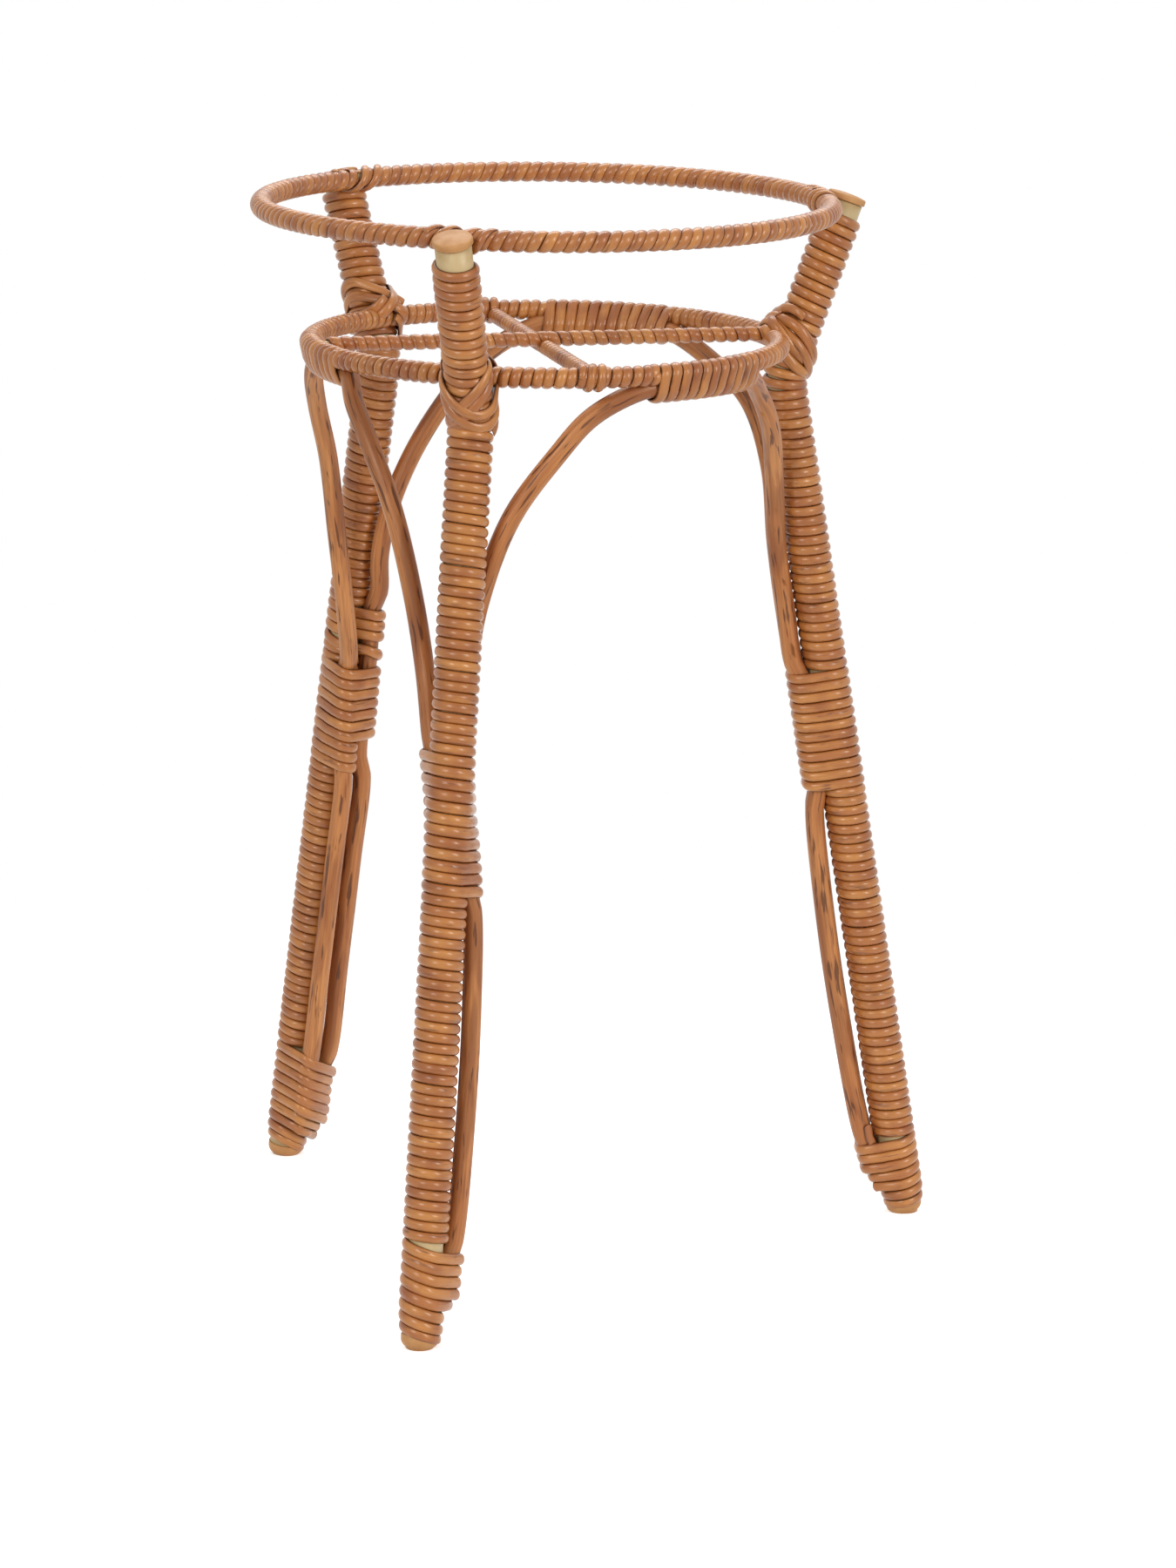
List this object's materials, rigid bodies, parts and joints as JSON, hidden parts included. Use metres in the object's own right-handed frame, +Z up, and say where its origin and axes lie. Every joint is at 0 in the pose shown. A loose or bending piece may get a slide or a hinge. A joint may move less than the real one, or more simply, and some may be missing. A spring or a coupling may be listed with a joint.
{
  "type": "plant stand",
  "caption": "Tall flared wicker plant stand: tube legs joined by two wound hoops and bent arch rods, with a crossed shelf inside the lower hoop for a pot.",
  "frame": {"origin": "centre of the bounding box's bottom face, on the floor; the stand's own vertical axis passes 38.3 mm from it towards -X", "axes": "+Z up; +X towards leg C; legs B and A follow at 120 and 240 degrees about the stand's axis"},
  "size_m": [0.442, 0.4514, 0.6701],
  "materials": {
    "frame_metal": "satin paint",
    "strand": "satin, streaked",
    "rod_cane": "varnished, dark flecks",
    "cap_plastic": "matte"
  },
  "bodies": {
    "root": {"leg_tube_a": "frame_metal", "top_cap_a": "cap_plastic", "foot_cap_a": "cap_plastic", "leg_tube_b": "frame_metal", "top_cap_b": "cap_plastic", "foot_cap_b": "cap_plastic", "leg_tube_c": "frame_metal", "top_cap_c": "cap_plastic", "foot_cap_c": "cap_plastic", "top_hoop_wire": "frame_metal", "shelf_hoop_wire": "frame_metal", "cross_bar_x": "frame_metal", "cross_bar_y": "frame_metal", "arch_rod_ab": "rod_cane", "arch_rod_bc": "rod_cane", "arch_rod_ca": "rod_cane", "bar_wrap_x_out": "strand", "bar_wrap_x_back": "strand", "bar_wrap_y_out": "strand", "bar_wrap_y_back": "strand", "shin_wrap_upper_a": "strand", "shin_wrap_upper_c": "strand", "shelf_lashing_over_a": "strand", "shelf_lashing_over_b": "strand", "mid_binding_a": "strand", "foot_binding_a": "strand", "shin_wrap_a": "strand", "thigh_wrap_a": "strand", "neck_wrap_a": "strand", "shelf_lashing_a": "strand", "top_lashing_a": "strand", "mid_binding_b": "strand", "foot_binding_b": "strand", "shin_wrap_b": "strand", "thigh_wrap_b": "strand", "neck_wrap_b": "strand", "shelf_lashing_b": "strand", "top_lashing_b": "strand", "mid_binding_c": "strand", "foot_binding_c": "strand", "shin_wrap_c": "strand", "thigh_wrap_c": "strand", "neck_wrap_c": "strand", "shelf_lashing_c": "strand", "top_lashing_c": "strand", "top_wrap_ab": "strand", "shelf_wrap_ab_1": "strand", "shelf_wrap_ab_2": "strand", "arch_wrap_ab": "strand", "top_wrap_bc": "strand", "shelf_wrap_bc_1": "strand", "shelf_wrap_bc_2": "strand", "arch_wrap_bc": "strand", "top_wrap_ca": "strand", "shelf_wrap_ca_1": "strand", "shelf_wrap_ca_2": "strand", "arch_wrap_ca": "strand"}
  },
  "joints": []
}
